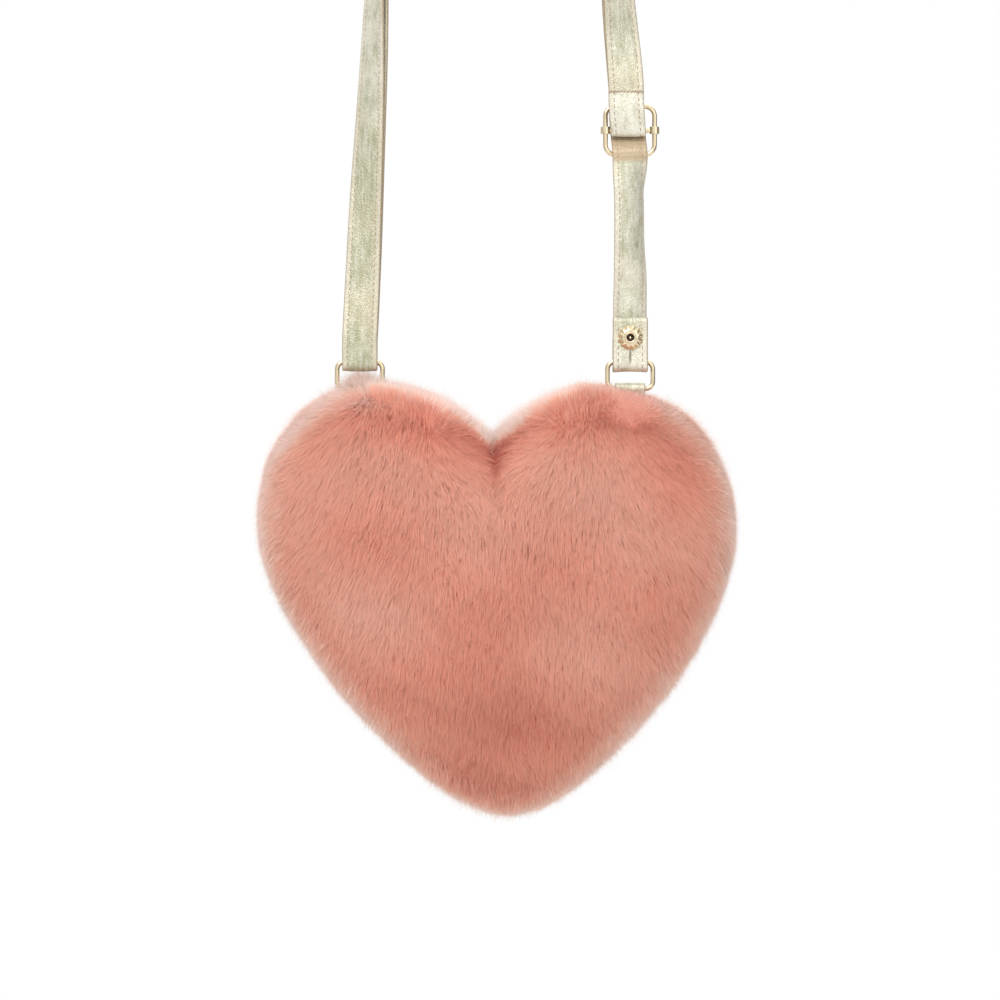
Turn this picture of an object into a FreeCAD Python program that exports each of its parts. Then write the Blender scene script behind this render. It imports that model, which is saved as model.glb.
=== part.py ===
# A heart shaped faux fur purse that hangs from an adjustable metallic strap.
# Millimetres, +Z up, front of the purse towards -Y. The origin is the underside of the
# strap's arch, where a hook or a shoulder carries it. "Height" is measured upwards from
# the axis of the rings' upper bars, and "inset" inwards from the surface of the fur.
import FreeCAD, Part
import math
import os

Vec = FreeCAD.Vector

# Heart
heart_width = 177.6
lobe_height = 51.6          # heart's centre line to the top of a lobe
lobe_offset = 42.2          # top of a lobe from the middle
notch_height = 31.8         # heart's centre line to the bottom of the notch
tip_drop = 108.6            # heart's centre line to the tip
lean = 0.04                 # the tip hangs a little to the right
lean_level = 17.0           # height on the heart that the lean turns about
front_depth = 34.0          # seam to the front of the fur
back_depth = 26.0           # seam to the back of the fur
back_flat_share = 0.8       # share of the outline that is flat on the back
roundness = 2.2             # 2 is an ellipse in section, more is fuller

# Layers of the heart, from outside in
fur_thickness = 7.0         # lying pile and its backing cloth
wadding_thickness = 4.0
lining_thickness = 1.0
layer_clearance = 0.5

# Strap
strap_width = 13.0
strap_thickness = 1.2
doubled_gap = 0.3           # between the two layers of the doubled strap
arch_radius = 39.0          # inside of the arch
run_height = 208.5          # ring axis up to the arch's centre
ring_beyond_lobe = 7.8      # a ring's middle outward from the top of its lobe
fold_clearance = 0.3        # strap to the wire it is folded round
fold_leg = 8.0              # straight legs over the left ring's fold
layers_meet = 22.0          # length over which the spread layers come together
tab_end = 16.3              # height of the riveted strap end on the right
stitch_rise = 6.7           # stitches that close the buckle's fold, over its upper bar

# Wire hardware
wire = 1.8
ring_inside_width = 15.0
ring_inside_height = 8.0
ring_corner = 2.6
buckle_inside_width = 16.4
buckle_inside_height = 16.0
buckle_corner = 3.6
buckle_height = 85.8        # height of the buckle's middle bar
eye_wall = 0.8              # wall of the eyes that hold the bar on the frame
eye_length = 2.6
eye_clearance = 0.1

# Rivet through the strap's right end
rivet_height = 8.9
rivet_tube = 1.6            # outer radius
rivet_bore = 1.1
rivet_head = 4.0
rivet_head_thickness = 0.8
rivet_clearance = 0.1
washer_radius = 4.1
washer_thickness = 1.1
washer_scallops = 12
scallop_radius = 0.75
collar_radius = 2.9
collar_rise = 0.9

# Tabs that hold the rings in the seam
tab_width = 11.0
tab_ply = 1.0
tab_clearance = 0.2
tab_stem = 6.0
bar_sink = 2.2              # lower ring bar below the top of the lobe's fur
pocket_reach = 4.0          # room in the fur in front of and behind a ring
pocket_side = 0.8
pocket_floor = 1.0

# Zip across the back
zip_level = 4.0             # above the heart's centre line
zip_length = 110.0
slot_height = 14.0
slot_margin = 5.0           # slot beyond each end of the zip
tape_width = 12.0
tape_thickness = 0.7
tape_edge = 1.4             # tape's inner edge from the zip's middle
tooth_pitch = 2.2
tooth_width = 0.9
tooth_tip = 0.5             # from the zip's middle
tooth_root = 2.6
tooth_depth = 2.2
stop_length = 2.4
slider_length = 8.6
slider_plate = 1.0
slider_wall = 0.8
slider_clearance = 0.25
post_width = 0.5
post_length = 2.4
nose_cut = 1.6              # corners taken off the slider's narrow end
bridge_length = 5.6
bridge_width = 1.8
bridge_ply = 0.8
pull_pin = 0.5              # radius of the pull's bar under the bridge
pull_clearance = 0.2
pull_length = 10.0
pull_width = 6.0
pull_thickness = 1.1
pull_frame = 1.2
pull_corner = 1.0
lining_slot_height = 12.0

# Places that follow from the sizes above
half_width = heart_width / 2
half_spacing = lobe_offset + ring_beyond_lobe
wire_radius = wire / 2
arch_centre = -arch_radius
ring_axis = arch_centre - run_height
ring_pitch = ring_inside_height + wire
lower_bar = ring_axis - ring_pitch
heart_level = lower_bar + bar_sink - lobe_height
arch_middle = arch_radius + strap_thickness + doubled_gap / 2
doubled_offset = (strap_thickness + doubled_gap) / 2
fold_radius = wire_radius + fold_clearance
fold_offset = fold_radius + strap_thickness / 2
buckle_pitch = (buckle_inside_height + wire) / 2
stitch_height = buckle_height + buckle_pitch + stitch_rise
buckle_plane = fold_offset
weave_depth = buckle_plane + fold_radius + strap_thickness + fold_clearance + strap_thickness / 2
front_ply = strap_thickness / 2 + fold_clearance + 1.5 * strap_thickness
skin_face = back_depth - fur_thickness
tape_middle = skin_face - tape_thickness / 2
zip_axis = heart_level + zip_level


def box(x, y, z):
    """A box between the two ends given for each axis."""
    corner = Vec(min(x), min(y), min(z))
    return Part.makeBox(max(x) - min(x), max(y) - min(y), max(z) - min(z), corner)


def rod(radius, start, end):
    """A round rod from one point to another."""
    run = Vec(*end) - Vec(*start)
    return Part.makeCylinder(radius, run.Length, Vec(*start), run)


def about(middle, width):
    """The two ends of a width about its middle."""
    return middle - width / 2, middle + width / 2


def blend(share):
    """A smooth step from 0 to 1."""
    share = min(1.0, max(0.0, share))
    return share * share * (3 - 2 * share)


def prism(points, x):
    """An outline of (y, z) points carried along X."""
    corners = [Vec(min(x), y, z) for y, z in points]
    face = Part.Face(Part.makePolygon(corners + corners[:1]))
    return face.extrude(Vec(max(x) - min(x), 0, 0))


def joined(first, *others):
    """Touching solids as one solid."""
    return first.fuse(list(others)).removeSplitter()


# Heart panels
def heart_outline():
    """The heart's outer edge in the seam plane, one closed curve about its own centre."""
    rise = lobe_height - notch_height
    right = [
        (0.17 * lobe_offset, notch_height + 0.30 * rise),
        (0.40 * lobe_offset, notch_height + 0.67 * rise),
        (lobe_offset, lobe_height),
        (lobe_offset + 0.61 * (half_width - lobe_offset), 0.80 * lobe_height),
        (half_width, 0.0),
        (0.84 * half_width, -0.40 * tip_drop),
        (0.43 * half_width, -0.81 * tip_drop),
    ]
    left = [(-x, z) for x, z in reversed(right)]
    around = [(0.0, notch_height)] + right + [(0.0, -tip_drop)] + left
    points = [Vec(x + lean * (lean_level - z), 0, z + heart_level) for x, z in around]
    curve = Part.BSplineCurve()
    curve.interpolate(points, PeriodicFlag=True)
    return Part.Wire(curve.toShape())


outline = heart_outline()
heart_middle = Vec(lean * lean_level, 0, heart_level - 0.15 * tip_drop)


def heart_ring(inset, share, depth):
    """The outline drawn in by an inset and to a share of its size, at a depth from the seam."""
    ring = outline.copy()
    ring.scale((1 - inset / half_width) * share, heart_middle)
    ring.translate(Vec(0, depth, 0))
    return ring


def dome(inset, side, past_seam=0.0):
    """One half of the heart under an inset: side -1 is the crowned front, 1 the flat back."""
    front = side < 0
    depth = (front_depth if front else back_depth) - inset
    flat = 0.0 if front else back_flat_share
    last = 83 if front else 90
    steps = [0, 10, 22, 36, 50, 63, 74, last]
    rings = [heart_ring(inset, 1.0, -side * past_seam)] if past_seam else []
    for angle in steps:
        along = max(0.0, math.cos(math.radians(angle))) ** (2 / roundness)
        out = math.sin(math.radians(angle)) ** (2 / roundness)
        rings.append(heart_ring(inset, flat + (1 - flat) * along, side * depth * out))
    return Part.makeLoft(rings, True, False)


def heart_layer(inset, thickness, side):
    """A curved panel of one thickness under an inset."""
    return dome(inset, side).cut(dome(inset + thickness, side, past_seam=2.0))


def ring_pocket(x):
    """The room in the fur that a ring's lower bar and arms need to swing."""
    reach = ring_inside_width / 2 + wire + pocket_side
    floor = lower_bar - wire_radius - tab_clearance - tab_ply - pocket_floor
    return box((x - reach, x + reach), (-pocket_reach, pocket_reach), (floor, ring_axis))


def stem_slot(x):
    """The slot in the seam that a ring tab's stem is sewn into."""
    across = about(x, tab_width + 2 * tab_clearance)
    through = about(0, 2 * tab_ply + 4 * tab_clearance)
    return box(across, through, (lower_bar - tab_stem - tab_clearance, lower_bar))


def zip_slot(length, height):
    """An opening through the back for the zip."""
    return box(about(0, length), (skin_face / 4, 2 * back_depth), about(zip_axis, height))


wadding_inset = fur_thickness + layer_clearance
lining_inset = wadding_inset + wadding_thickness + layer_clearance
slot_length = zip_length + 2 * slot_margin
tape_length = slot_length
wadding_slot_height = 2 * (tape_edge + tape_width) + 2
ring_cuts = [ring_pocket(x) for x in (-half_spacing, half_spacing)]
stem_cuts = [stem_slot(x) for x in (-half_spacing, half_spacing)]


def fur_panel(side):
    panel = heart_layer(0, fur_thickness, side).cut(ring_cuts + stem_cuts)
    return panel.cut(zip_slot(slot_length, slot_height)) if side > 0 else panel


def wadding(side):
    layer = heart_layer(wadding_inset, wadding_thickness, side).cut(stem_cuts)
    return layer.cut(zip_slot(tape_length + 2, wadding_slot_height)) if side > 0 else layer


def lining(side):
    layer = heart_layer(lining_inset, lining_thickness, side)
    return layer.cut(zip_slot(zip_length, lining_slot_height)) if side > 0 else layer


# Rings and the tabs that hold them
def rounded_loop(middle_x, plane_y, middle_z, width, height, corner):
    """The centre line of a wire bent into a rectangle with round corners."""
    edges = []
    for quarter in range(4):
        turn = quarter * math.pi / 2
        across, along = (width, height) if quarter % 2 else (height, width)
        start = Vec(across / 2, 0, -along / 2 + corner)
        end = Vec(across / 2, 0, along / 2 - corner)
        bend = Vec(across / 2 - corner * (1 - math.sqrt(0.5)), 0, end.z + corner * math.sqrt(0.5))
        finish = Vec(across / 2 - corner, 0, along / 2)
        spin = FreeCAD.Rotation(Vec(0, -1, 0), math.degrees(turn))
        place = [spin.multVec(p) for p in (start, end, bend, finish)]
        edges.append(Part.LineSegment(place[0], place[1]).toShape())
        edges.append(Part.Arc(place[1], place[2], place[3]).toShape())
    loop = Part.Wire(edges)
    loop.translate(Vec(middle_x, plane_y, middle_z))
    return loop


def wire_loop(middle_x, plane_y, middle_z, inside_width, inside_height, corner):
    """Round wire bent into a closed rectangle."""
    path = rounded_loop(
        middle_x, plane_y, middle_z, inside_height + wire, inside_width + wire, corner
    )
    start = path.Edges[0]
    first = start.FirstParameter
    section = Part.Circle(start.valueAt(first), start.tangentAt(first), wire_radius)
    return path.makePipeShell([Part.Wire(section.toShape())], True, True)


def ring(x):
    middle = ring_axis - ring_pitch / 2
    return wire_loop(x, 0, middle, ring_inside_width, ring_inside_height, ring_corner)


def ring_tab(x):
    """A strip looped round the ring's lower bar, its two plies sewn into the seam."""
    across = about(x, tab_width)
    bore = wire_radius + tab_clearance
    loop = rod(bore + tab_ply, (across[0], 0, lower_bar), (across[1], 0, lower_bar))
    stem = box(across, about(0, 2 * tab_ply), (lower_bar - tab_stem, lower_bar))
    hole = rod(bore, (across[0] - 1, 0, lower_bar), (across[1] + 1, 0, lower_bar))
    return joined(loop, stem).cut(hole)


# Strap
def run_section(side, height, offset):
    """A cut across one layer of the strap on its left or right run.

    The strap faces forward at the bottom of the run and turns outward by the arch.
    """
    start = fold_leg if side < 0 else stitch_height
    share = (height - start) / (run_height - start)
    x = side * (half_spacing + (arch_middle - half_spacing) * share)
    turn = share * math.pi / 2
    out = Vec(side * math.sin(turn), -math.cos(turn), 0)
    across = Vec(-side * math.cos(turn), -math.sin(turn), 0)
    return strap_cut(Vec(x, 0, ring_axis + height) + out * offset, across, out)


def arch_section(angle, offset):
    """A cut across one layer of the strap on the arch, at an angle from the right."""
    out = Vec(math.cos(angle), 0, math.sin(angle))
    return strap_cut(Vec(0, 0, arch_centre) + out * (arch_middle + offset), Vec(0, -1, 0), out)


def strap_cut(middle, across, out):
    """The strap's rectangular section."""
    wide = across * (strap_width / 2)
    thick = out * (strap_thickness / 2)
    corners = [middle + wide + thick, middle - wide + thick, middle - wide - thick, middle + wide - thick]
    return Part.makePolygon(corners + corners[:1])


def strap_layer(left_offset, right_offset, offset):
    """One layer of the doubled strap: up the left run, over the arch, down the right run.

    It leaves its lower ends at their own offsets and closes up with the other layer.
    """
    run_cuts, arch_cuts = 9, 12
    sections = []
    for cut in range(run_cuts):
        height = fold_leg + (run_height - fold_leg) * cut / run_cuts
        close = blend((height - fold_leg) / layers_meet)
        sections.append(run_section(-1, height, left_offset + (offset - left_offset) * close))
    for cut in range(arch_cuts + 1):
        sections.append(arch_section(math.pi * (1 - cut / arch_cuts), offset))
    for cut in range(run_cuts):
        height = run_height + (stitch_height - run_height) * (cut + 1) / run_cuts
        close = blend((height - stitch_height) / layers_meet)
        sections.append(run_section(1, height, right_offset + (offset - right_offset) * close))
    return Part.makeLoft(sections, True, False)


def fold(x, height_front, height_back):
    """The strap's U turn under a ring's upper bar, with a leg in front and one behind."""
    across = about(x, strap_width)
    outer = fold_radius + strap_thickness
    turn = rod(outer, (across[0], 0, ring_axis), (across[1], 0, ring_axis))
    turn = turn.cut(box(across, (-2 * outer, 2 * outer), (ring_axis, ring_axis + 2 * outer)))
    front = box(across, (-outer, -fold_radius), (ring_axis, ring_axis + height_front))
    back = box(across, (fold_radius, outer), (ring_axis, ring_axis + height_back))
    hole = rod(fold_radius, (across[0] - 1, 0, ring_axis), (across[1] + 1, 0, ring_axis))
    return joined(turn.cut(hole), front, back)


tail_start = tab_end + 2.0


def weave(height):
    """How far behind the ring plane the strap's tail runs as it threads the buckle."""
    from_bar = (height - buckle_height) / buckle_pitch
    if abs(from_bar) < 1:
        return weave_depth * math.cos(from_bar * math.pi / 2) ** 2
    if height > buckle_height:
        return 0.0
    straight = buckle_height - buckle_pitch
    return fold_offset * blend((straight - height) / (straight - tail_start))


def woven_band():
    """The tail from the right ring's fold up through the buckle, as a thick curve."""
    count = 64
    front, back = [], []
    for n in range(count + 1):
        height = tail_start + (stitch_height - tail_start) * n / count
        step = 0.01
        slope = (weave(height + step) - weave(height - step)) / (2 * step)
        if n in (0, count):
            slope = 0.0
        long = math.hypot(1, slope)
        out = Vec(0, -1 / long, slope / long) * (strap_thickness / 2)
        middle = Vec(half_spacing - strap_width / 2, weave(height), ring_axis + height)
        front.append(middle + out)
        back.append(middle - out)
    sides = []
    for points in (front, back):
        curve = Part.BSplineCurve()
        curve.interpolate(points)
        sides.append(curve.toShape())
    ends = [Part.makeLine(front[0], back[0]), Part.makeLine(front[-1], back[-1])]
    face = Part.Face(Part.Wire(Part.__sortEdges__(sides + ends)))
    return face.extrude(Vec(strap_width, 0, 0))


def rivet_hole():
    radius = rivet_tube + rivet_clearance
    level = ring_axis + rivet_height
    through = 2 * (fold_radius + strap_thickness)
    return rod(radius, (half_spacing, -through, level), (half_spacing, through, level))


def strap_tail():
    return joined(fold(half_spacing, tab_end, tail_start), woven_band()).cut(rivet_hole())


def bar_fold():
    """The strap's sewn end: folded round the buckle's middle bar and stitched to itself."""
    across = about(half_spacing, strap_width)
    level = ring_axis + buckle_height
    ends = [(across[0], buckle_plane, level), (across[1], buckle_plane, level)]
    loop = rod(fold_radius + strap_thickness, *ends)
    lean_over = 0.8 * buckle_pitch
    middle = -(front_ply - strap_thickness / 2)
    slant = math.hypot(buckle_plane - middle, lean_over) / lean_over * strap_thickness
    top = level + lean_over
    leg = [
        (buckle_plane - slant, level),
        (buckle_plane + slant, level),
        (middle + strap_thickness, top),
        (middle + strap_thickness, ring_axis + stitch_height),
        (middle - strap_thickness, ring_axis + stitch_height),
        (middle - strap_thickness, top),
    ]
    hole = rod(fold_radius, (across[0] - 1, *ends[0][1:]), (across[1] + 1, *ends[1][1:]))
    return joined(loop, prism(leg, across)).cut(hole)


# Slide buckle
def buckle_frame():
    level = ring_axis + buckle_height
    inside = (buckle_inside_width, buckle_inside_height)
    return wire_loop(half_spacing, buckle_plane, level, *inside, buckle_corner)


def buckle_bar():
    """The middle bar, with an eye round each side of the frame."""
    level = ring_axis + buckle_height
    reach = (buckle_inside_width + wire) / 2
    sides = [half_spacing - reach, half_spacing + reach]
    bar = rod(wire_radius, (sides[0], buckle_plane, level), (sides[1], buckle_plane, level))
    bore = wire_radius + eye_clearance
    ends = about(level, eye_length)
    eyes = [rod(bore + eye_wall, (x, buckle_plane, ends[0]), (x, buckle_plane, ends[1])) for x in sides]
    holes = [rod(bore, (x, buckle_plane, ends[0] - 1), (x, buckle_plane, ends[1] + 1)) for x in sides]
    return joined(bar, *eyes).cut(holes)


# Rivet
def rivet():
    """A tubular rivet: flat head behind, tube through both legs, its mouth in the washer."""
    level = ring_axis + rivet_height
    back = fold_radius + strap_thickness
    mouth = -back - washer_thickness - collar_rise
    head = rod(rivet_head, (half_spacing, back, level), (half_spacing, back + rivet_head_thickness, level))
    tube = rod(rivet_tube, (half_spacing, mouth, level), (half_spacing, back, level))
    bore = rod(rivet_bore, (half_spacing, mouth - 1, level), (half_spacing, back, level))
    return joined(head, tube).cut(bore)


def rivet_washer():
    """A scalloped washer with a rounded collar, closed on the rivet's mouth."""
    level = ring_axis + rivet_height
    seat = -fold_radius - strap_thickness
    face = seat - washer_thickness
    plate = rod(washer_radius, (half_spacing, face, level), (half_spacing, seat, level))
    petals = []
    for n in range(washer_scallops):
        turn = 2 * math.pi * n / washer_scallops
        x = half_spacing + washer_radius * math.cos(turn)
        z = level + washer_radius * math.sin(turn)
        petals.append(rod(scallop_radius, (x, face, z), (x, seat, z)))
    collar = rod(collar_radius, (half_spacing, face - collar_rise, level), (half_spacing, face, level))
    mouth = [e for e in collar.Edges if e.BoundBox.YMax < face - 0.5 * collar_rise]
    collar = collar.makeFillet(0.8 * collar_rise, mouth)
    hole = rod(rivet_tube + rivet_clearance, (half_spacing, face - 2, level), (half_spacing, seat + 1, level))
    return joined(plate, collar, *petals).cut(hole)


# Zip
def zip_tape(side):
    near = zip_axis + side * tape_edge
    far = near + side * tape_width
    return box(about(0, tape_length), about(tape_middle, tape_thickness), (near, far))


def zip_teeth(side):
    """A row of teeth clamped on the tape's edge, half a pitch out of step with the other row."""
    count = int((zip_length - 2 * stop_length) / tooth_pitch) - 1
    teeth = []
    for n in range(count):
        x = (n - (count - 1) / 2 + side * 0.25) * tooth_pitch
        ends = (zip_axis + side * tooth_tip, zip_axis + side * tooth_root)
        tooth = box(about(x, tooth_width), about(tape_middle, tooth_depth), ends)
        teeth.append(tooth.cut(zip_tape(side)))
    return Part.makeCompound(teeth)


def zip_stop(x, low, high):
    """A clip of metal closed over the tapes' edges."""
    clip = box(about(x, stop_length), about(tape_middle, tooth_depth), (low, high))
    return clip.cut([zip_tape(1), zip_tape(-1)])


stop_place = (zip_length - stop_length) / 2


def top_stops():
    ends = [(zip_axis + s * tooth_tip, zip_axis + s * tooth_root) for s in (1, -1)]
    return Part.makeCompound([zip_stop(stop_place, *e) for e in ends])


def bottom_stop():
    return zip_stop(-stop_place, zip_axis - tooth_root, zip_axis + tooth_root)


slider_place = stop_place - stop_length / 2 - slider_length / 2 - slider_clearance
slider_face = tape_middle + tooth_depth / 2 + slider_clearance
slider_half = tooth_root + slider_clearance + slider_wall
slider_top = slider_face + slider_plate
pin_level = slider_top + pull_clearance + pull_pin


def slider_plate_solid(near, far):
    """One plate of the slider: square shoulders at its wide end, cut corners at its narrow end."""
    ends = about(slider_place, slider_length)
    plate = box(ends, (near, far), about(zip_axis, 2 * slider_half))
    cuts = [e for e in plate.Edges if abs(e.BoundBox.XMax - ends[0]) < 1e-6 and e.BoundBox.YLength > 1e-6]
    return plate.makeChamfer(nose_cut, cuts)


def zip_slider():
    """Two plates round the teeth, joined by the post between the rows, with a bridge on top."""
    length = about(slider_place, slider_length)
    below = 2 * tape_middle - slider_face
    plates = [
        slider_plate_solid(slider_face, slider_top),
        slider_plate_solid(below - slider_plate, below),
    ]
    post_ends = (length[1] - 1.0 - post_length, length[1] - 1.0)
    post = box(post_ends, (below - slider_plate, slider_top), about(zip_axis, post_width))
    walls = []
    wall_reach = tape_thickness / 2 + slider_clearance
    for side in (1, -1):
        z = (zip_axis + side * (slider_half - slider_wall), zip_axis + side * slider_half)
        x = (length[0] + nose_cut, length[1])
        walls.append(box(x, (tape_middle + wall_reach, slider_face), z))
        walls.append(box(x, (below, tape_middle - wall_reach), z))
    rise = 2 * (pull_pin + pull_clearance)
    span = about(slider_place, bridge_length)
    across = about(zip_axis, bridge_width)
    bridge = box(span, (slider_top, slider_top + rise + bridge_ply), across)
    under = box(about(slider_place, bridge_length - 2 * bridge_ply), (slider_top, slider_top + rise), across)
    return joined(plates[0], plates[1], post, *walls, bridge.cut(under))


def zip_pull():
    """A small frame shaped pull whose end bar lies under the slider's bridge."""
    far = slider_place - pull_length
    outer = (far, slider_place + pull_pin)
    level = about(pin_level, 2 * pull_pin)
    body = box((far, slider_place), about(pin_level, pull_thickness), about(zip_axis, pull_width))
    ends = [e for e in body.Edges if e.BoundBox.YLength > pull_thickness / 2 and e.BoundBox.XMax < far + 0.1]
    body = body.makeFillet(pull_corner, ends)
    gap = (far + pull_frame, slider_place + pull_pin + 1)
    window = box(gap, about(pin_level, 4 * pull_thickness), about(zip_axis, pull_width - 2 * pull_frame))
    pin_ends = about(zip_axis, pull_width)
    pin = rod(pull_pin, (slider_place, pin_level, pin_ends[0]), (slider_place, pin_level, pin_ends[1]))
    return joined(body.cut(window), pin)


pieces = {
    "front_fur_panel": fur_panel(-1),
    "back_fur_panel": fur_panel(1),
    "front_wadding": wadding(-1),
    "back_wadding": wadding(1),
    "front_lining": lining(-1),
    "back_lining": lining(1),
    "left_ring_tab": ring_tab(-half_spacing),
    "right_ring_tab": ring_tab(half_spacing),
    "left_ring": ring(-half_spacing),
    "right_ring": ring(half_spacing),
    "strap_front_layer": strap_layer(fold_offset, front_ply, doubled_offset),
    "strap_back_layer": strap_layer(-fold_offset, 0.0, -doubled_offset),
    "strap_left_fold": fold(-half_spacing, fold_leg, fold_leg),
    "strap_bar_fold": bar_fold(),
    "strap_tail": strap_tail(),
    "buckle_frame": buckle_frame(),
    "buckle_bar": buckle_bar(),
    "rivet": rivet(),
    "rivet_washer": rivet_washer(),
    "zip_tape_upper": zip_tape(1),
    "zip_tape_lower": zip_tape(-1),
    "zip_teeth_upper": zip_teeth(1),
    "zip_teeth_lower": zip_teeth(-1),
    "zip_top_stops": top_stops(),
    "zip_bottom_stop": bottom_stop(),
    "zip_slider": zip_slider(),
    "zip_pull": zip_pull(),
}

os.makedirs("parts", exist_ok=True)
for name, shape in pieces.items():
    shape.exportStep(f"parts/{name}.step")
    print(name, "valid" if shape.isValid() else "NOT VALID", len(shape.Solids), round(shape.Volume, 1))
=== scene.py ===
"""A heart shaped faux fur purse on a pearly strap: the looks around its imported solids."""

import math

import bpy
import numpy as np
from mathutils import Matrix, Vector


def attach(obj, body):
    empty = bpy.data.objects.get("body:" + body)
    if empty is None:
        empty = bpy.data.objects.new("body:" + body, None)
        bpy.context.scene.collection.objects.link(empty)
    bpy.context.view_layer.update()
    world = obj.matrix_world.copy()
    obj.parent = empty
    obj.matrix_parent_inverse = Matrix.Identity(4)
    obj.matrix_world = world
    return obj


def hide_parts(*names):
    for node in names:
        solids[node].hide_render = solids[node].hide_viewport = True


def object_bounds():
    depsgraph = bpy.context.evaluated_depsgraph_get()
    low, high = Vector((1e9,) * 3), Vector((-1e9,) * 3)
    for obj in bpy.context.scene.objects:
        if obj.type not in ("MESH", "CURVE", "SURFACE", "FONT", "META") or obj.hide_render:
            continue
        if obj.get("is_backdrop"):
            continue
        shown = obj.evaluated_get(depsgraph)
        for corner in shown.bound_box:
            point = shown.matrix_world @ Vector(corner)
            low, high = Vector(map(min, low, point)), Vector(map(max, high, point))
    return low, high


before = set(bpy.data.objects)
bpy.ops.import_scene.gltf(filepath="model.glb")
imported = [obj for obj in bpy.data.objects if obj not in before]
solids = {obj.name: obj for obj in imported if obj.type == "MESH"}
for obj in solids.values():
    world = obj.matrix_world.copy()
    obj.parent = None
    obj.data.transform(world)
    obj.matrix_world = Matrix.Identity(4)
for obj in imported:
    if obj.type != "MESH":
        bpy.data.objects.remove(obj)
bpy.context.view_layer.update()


# Lining
# A pouch of smooth pink satin in two halves, each cut to the heart's outline.
# It lies inside the wadding, sewn to the zip's tapes at the back and along the seam.
MM = 0.001
heart_half_width = 88.8
lobe_height, lobe_offset = 51.6, 42.2
notch_height, tip_drop = 31.8, 108.6
lean, lean_level = 0.04, 17.0
front_depth, back_depth = 34.0, 26.0
back_flat, roundness = 0.8, 2.2
ring_axis, lower_bar, half_spacing = -247.5, -257.3, 50.0
bar_sunk = 2.2
heart_level = lower_bar + bar_sunk - lobe_height
zip_level = 4.0
slot_half_length, slot_half_height = 60.0, 7.0
lining_inset, lining_ply = 12.0, 1.0


def heart_edge(count):
    """Points round the heart's edge in the seam plane, as (x, z) in millimetres.

    A closed cubic curve with chord length steps through the notch, the lobes, the flanks and
    the tip, each point pushed sideways by the lean times its depth, read at even lengths.
    """
    rise = lobe_height - notch_height
    right = np.array(
        [
            (0.17 * lobe_offset, notch_height + 0.30 * rise),
            (0.40 * lobe_offset, notch_height + 0.67 * rise),
            (lobe_offset, lobe_height),
            (lobe_offset + 0.61 * (heart_half_width - lobe_offset), 0.80 * lobe_height),
            (heart_half_width, 0.0),
            (0.84 * heart_half_width, -0.40 * tip_drop),
            (0.43 * heart_half_width, -0.81 * tip_drop),
        ]
    )
    knots = np.vstack([[(0, notch_height)], right, [(0, -tip_drop)], right[::-1] * (-1, 1)])
    knots[:, 0] += lean * (lean_level - knots[:, 1])
    knots[:, 1] += heart_level
    after = np.roll(knots, -1, 0)
    span = np.linalg.norm(after - knots, axis=1)
    slope = (after - knots) / span[:, None]
    before = np.roll(span, 1)
    system = np.diag(2 * (before + span)) + np.roll(np.diag(span), 1, 1) + np.roll(np.diag(before), -1, 1)
    bend = np.linalg.solve(system, 6 * (slope - np.roll(slope, 1, 0)))
    next_bend = np.roll(bend, -1, 0)
    step = np.linspace(0, 1, 120, endpoint=False)[None, :, None]
    h, p, q = span[:, None, None], knots[:, None], after[:, None]
    m, k = bend[:, None], next_bend[:, None]
    curve = (1 - step) * p + step * q + h**2 / 6 * (
        ((1 - step) ** 3 - (1 - step)) * m + (step**3 - step) * k
    )
    curve = curve.reshape(-1, 2)
    closed = np.vstack([curve, curve[:1]])
    length = np.concatenate([[0], np.cumsum(np.linalg.norm(np.diff(closed, axis=0), axis=1))])
    even = np.linspace(0, length[-1], count, endpoint=False)
    return np.stack([np.interp(even, length, closed[:, 0]), np.interp(even, length, closed[:, 1])], 1)


heart_middle = np.array([lean * lean_level, heart_level - 0.15 * tip_drop])


def half_heart(edge, inset, side, turn):
    """Rows of points over one half of the heart, from the seam at turn 0 to its face at a quarter turn.

    A row is the edge drawn towards the heart's middle to cos(turn)^(2/roundness) of its size, at
    sin(turn)^(2/roundness) of the depth; the back stops at its flat share.
    """
    depth = (front_depth if side < 0 else back_depth) - inset
    flat = 0.0 if side < 0 else back_flat
    along = np.clip(np.cos(turn), 0, 1) ** (2 / roundness)
    out = np.sin(turn) ** (2 / roundness)
    share = (1 - inset / heart_half_width) * (flat + (1 - flat) * along)
    flat_points = heart_middle + (edge - heart_middle) * share[:, None, None]
    deep = np.broadcast_to((side * depth * out)[:, None], flat_points.shape[:2])
    return np.stack([flat_points[..., 0], deep, flat_points[..., 1]], -1)


def slot_edge(edge, half_length, half_height):
    """The zip opening's edge, one point for each point of the heart's edge: a squared ellipse."""
    away = edge - (0, heart_level + zip_level)
    angle = np.arctan2(away[:, 1] / half_height, away[:, 0] / half_length)
    cos, sin = np.cos(angle), np.sin(angle)
    squareness = 8
    reach = (np.abs(cos) ** squareness + np.abs(sin) ** squareness) ** (-1 / squareness)
    return np.stack([half_length * cos * reach, heart_level + zip_level + half_height * sin * reach], 1)


def back_rows(edge, inset, turn, rows, slot):
    """Rows over the back half, from the zip opening out over the flat and round to the seam."""
    rounded = half_heart(edge, inset, 1, turn[::-1])
    opening = slot_edge(edge, *slot)
    share = np.linspace(0, 1, rows, endpoint=False)[:, None, None]
    inner = np.stack([opening[:, 0], np.full(len(edge), rounded[0, 0, 1]), opening[:, 1]], 1)
    return np.concatenate([(1 - share) * inner + share * rounded[0], rounded])


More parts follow.
